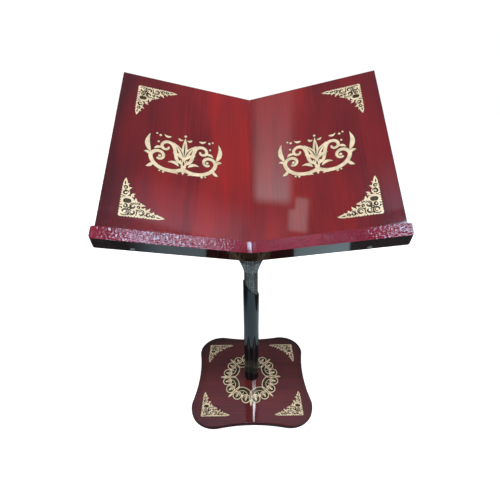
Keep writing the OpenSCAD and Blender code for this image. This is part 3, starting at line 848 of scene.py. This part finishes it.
def fade_light(lamp, near, far, along=1, bend=1.0):
    """Makes a softbox run from one brightness to another along its X (0) or Y (1), with soft sides."""
    lamp.data.use_nodes = True
    tree = lamp.data.node_tree
    emission = tree.nodes["Emission"]

    def node(kind, *values, **settings):
        n = tree.nodes.new("ShaderNode" + kind)
        for key, value in settings.items():
            setattr(n, key, value)
        for socket, value in zip(n.inputs, values):
            if isinstance(value, bpy.types.NodeSocket):
                tree.links.new(value, socket)
            else:
                socket.default_value = value
        return n.outputs[0]

    split = tree.nodes.new("ShaderNodeSeparateXYZ")
    tree.links.new(tree.nodes.new("ShaderNodeNewGeometry").outputs["Parametric"], split.inputs[0])
    to_end = node("Math", 1.0, split.outputs[along], operation="SUBTRACT")
    strength = node("MapRange", node("Math", to_end, bend, operation="POWER"), 0.0, 1.0, far, near)
    for axis, soft in ((1 - along, 0.24), (along, 0.10)):
        off_middle = node("Math", split.outputs[axis], 0.5, operation="SUBTRACT")
        to_side = node("Math", 0.5, node("Math", off_middle, operation="ABSOLUTE"), operation="SUBTRACT")
        soft_side = node("MapRange", to_side, 0.0, soft, 0.0, 1.0, interpolation_type="SMOOTHSTEP")
        strength = node("Math", strength, soft_side, operation="MULTIPLY")
    tree.links.new(strength, emission.inputs["Strength"])


def make_world():
    """White behind the object, and a dim room for light and reflections, paler overhead."""
    world = bpy.data.worlds.new("studio_dome")
    world.use_nodes = True
    bpy.context.scene.world = world
    tree = world.node_tree
    coords = tree.nodes.new("ShaderNodeTexCoord")
    split = tree.nodes.new("ShaderNodeSeparateXYZ")
    ramp = tree.nodes.new("ShaderNodeValToRGB")
    seen = tree.nodes.new("ShaderNodeLightPath")
    pick = tree.nodes.new("ShaderNodeMix")
    pick.data_type = "RGBA"
    e = ramp.color_ramp.elements
    e[0].position, e[0].color = 0.50, (0.14, 0.14, 0.15, 1)
    e[1].position, e[1].color = 0.85, (0.24, 0.24, 0.26, 1)
    pick.inputs[7].default_value = (1.02, 1.02, 1.02, 1)
    tree.links.new(coords.outputs["Generated"], split.inputs[0])
    tree.links.new(split.outputs["Z"], ramp.inputs["Fac"])
    tree.links.new(seen.outputs["Is Camera Ray"], pick.inputs[0])
    tree.links.new(ramp.outputs["Color"], pick.inputs[6])
    tree.links.new(pick.outputs[2], tree.nodes["Background"].inputs["Color"])


stage_sheet("studio_floor", (-9, 9), (-9, 9), -0.0010, 0.95, (0.12, 0.12, 0.12))
stage_sheet("paper_sheet", (-0.372, 0.302), (-0.46, 0.20), -0.0003, 0.88, (0.64, 0.86, 0.94), 0.55)
make_world()
middle = Vector((0, 0, 0.45))
CEILING = 2.2
DAYLIGHT = (0.85, 0.98, 1.0)
area_light("key_left", (-1.7, -1.9, 1.9), middle, 1.4, 1.4, 2.5)
area_light("key_right", (1.7, -1.9, 1.9), middle, 1.4, 1.4, 2.5)
WINDOW_TURN = -21.6
window_low = Vector((-0.715, -0.333, CEILING))
window_up = Vector((-math.sin(math.radians(WINDOW_TURN)), math.cos(math.radians(WINDOW_TURN)), 0))
WINDOW_LENGTH = 1.02
window_middle = window_low + window_up * WINDOW_LENGTH / 2
window = overhead_light("window", window_middle, 0.36, WINDOW_LENGTH, 1.0, DAYLIGHT, WINDOW_TURN)
fade_light(window, 3.3, 0.25, bend=2.0)
small_place = (-0.540, -0.443, CEILING)
small_pane = overhead_light("window_pane_small", small_place, 0.19, 0.29, 1.0, DAYLIGHT, WINDOW_TURN)
fade_light(small_pane, 2.3, 2.0)

# one strip for each arm of the ledge, whose peel breaks its reflection into sparkles
STRIP_BLUE = (0.50, 0.75, 1.0)
STRIP_TURN = 6.8
strip = overhead_light("ceiling_strip", (0.40, -0.687, CEILING), 0.90, 0.08, 1.0, STRIP_BLUE, STRIP_TURN)
fade_light(strip, 34, 18, 0)
left_place = (-0.55, -0.67, CEILING)
overhead_light("ceiling_strip_left", left_place, 0.70, 0.07, 2.5, STRIP_BLUE, -STRIP_TURN)
key_place = (0.53, -0.674, CEILING + 0.05)
key_overhead = overhead_light("key_overhead", key_place, 0.80, 0.30, 30.0, (1, 0.98, 0.97), STRIP_TURN)
key_overhead.visible_glossy = False

# lamps seen only in reflections, for the pale haze on the boards and the base
for name, place, width, height, near in (("haze_left", (0.50, -0.42, CEILING), 1.3, 0.36, 1.2),
                                         ("haze_right", (-0.95, -0.42, CEILING), 0.8, 0.36, 0.7),
                                         ("haze_base", (0.20, 1.60, CEILING), 2.2, 0.90, 0.75)):
    haze = overhead_light(name, place, width, height, 1.0, (0.80, 0.74, 1.0))
    haze.visible_diffuse = False
    fade_light(haze, near, 0.0)

# a lamp that only the post mirrors, which draws the streak in front of its foot
post_only = bpy.data.collections.new("post_only")
post_only.objects.link(NODES["outer_tube"])
streak_place = (1.09, -1.17, CEILING)
post_foot = (0, 0, 0.08)
streak_lamp = area_light("post_streak", streak_place, post_foot, 1.5, 0.30, 250.0, (0.88, 0.94, 1.0))
streak_lamp.visible_diffuse = False
streak_lamp.light_linking.receiver_collection = post_only

# lamps that light only the foil, which is brighter in the photo than the other lamps make it
foil_only = bpy.data.collections.new("foil_only")
for piece in list(bpy.context.scene.collection.objects):
    if piece.name.endswith("_foil"):
        foil_only.objects.link(piece)
for name, place, width, height, radiance in (("foil_front", (0, -0.90, CEILING), 1.2, 0.5, 7.0),
                                             ("foil_back", (0.3, 1.60, CEILING), 2.2, 0.9, 5.0)):
    foil_lamp = overhead_light(name, place, width, height, radiance, (1.0, 0.93, 0.86))
    foil_lamp.visible_glossy = False
    foil_lamp.light_linking.receiver_collection = foil_only

# ---- camera ---------------------------------------------------------------------------------------

camera_data = bpy.data.cameras.new("camera")
camera_data.sensor_width = 36
camera_data.lens = 22.93
camera = bpy.data.objects.new("camera", camera_data)
bpy.context.scene.collection.objects.link(camera)
# from the perspective fit, in metres and radians
eye = (-0.0045, -0.5877, 0.6628)
yaw, pitch, roll = -0.0048, 0.4626, -0.0073
camera.matrix_world = (Matrix.Translation(eye) @ Matrix.Rotation(yaw, 4, "Z")
                       @ Matrix.Rotation(math.pi / 2 - pitch, 4, "X") @ Matrix.Rotation(roll, 4, "Z"))
bpy.context.scene.camera = camera
bpy.context.scene.view_settings.view_transform = "Standard"
